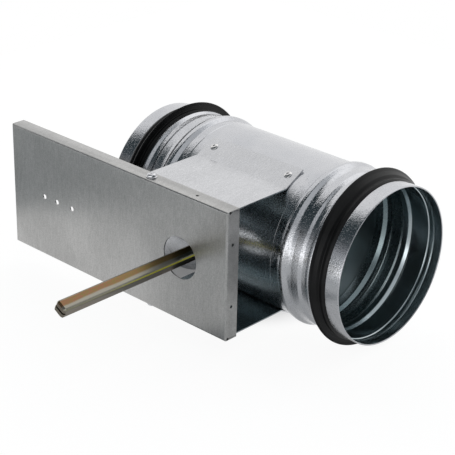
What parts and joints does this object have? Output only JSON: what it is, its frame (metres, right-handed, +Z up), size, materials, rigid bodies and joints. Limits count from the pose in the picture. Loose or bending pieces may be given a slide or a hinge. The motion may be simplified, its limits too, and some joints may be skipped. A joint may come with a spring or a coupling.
{
  "type": "round air damper",
  "caption": "Round duct damper: tube with two gasketed spigots, a turning blade on a square spindle, and a saddle bracket that carries a long flat actuator plate.",
  "frame": {"origin": "where the duct axis and the spindle axis cross, at the middle of the tube", "axes": "+X along the duct axis, +Z up, -Y towards the actuator plate and the spindle's end"},
  "size_m": [0.3117, 0.2902, 0.138],
  "materials": {
    "galvanised_tube": "bright galvanised sheet, fine spangle",
    "galvanised_sheet": "dull galvanised sheet with a fine grain",
    "black_rubber": "matt black rubber",
    "bright_zinc_screw": "bright zinc",
    "rivet_metal": "plain rivet, satin",
    "yellow_zinc_bar": "yellow chromated zinc, iridescent",
    "blade_sheet": "galvanised sheet, satin",
    "spring_steel": "phosphated spring steel",
    "bearing_plastic": "moulded plastic, fine matt"
  },
  "bodies": {
    "casing": {"duct_body": "galvanised_tube", "spigot_gasket_right": "black_rubber", "spigot_gasket_left": "black_rubber", "saddle_bracket": "galvanised_sheet", "actuator_plate": "galvanised_sheet", "plate_screw_upper": "bright_zinc_screw", "plate_screw_lower": "bright_zinc_screw", "saddle_rivet_upper_left": "rivet_metal", "saddle_rivet_upper_right": "rivet_metal", "saddle_rivet_lower_left": "rivet_metal", "saddle_rivet_lower_right": "rivet_metal", "bearing_housing_front": "bearing_plastic", "bearing_housing_rear": "bearing_plastic"},
    "blade": {"spindle": "yellow_zinc_bar", "blade_disc_upper": "blade_sheet", "blade_disc_lower": "blade_sheet", "blade_seal_right": "black_rubber", "blade_seal_left": "black_rubber", "blade_rivets": "rivet_metal", "blade_clamp_rivets": "rivet_metal", "spindle_bush_front": "bearing_plastic", "spindle_bush_rear": "bearing_plastic", "spindle_clip_front": "spring_steel", "spindle_clip_rear": "spring_steel"}
  },
  "joints": [
    {"name": "blade_turn", "type": "hinge", "parent": "casing", "child": "blade", "pos_m": [0, 0, 0], "axis": [0, 1, 0], "range_deg": [-30, 60]}
  ]
}
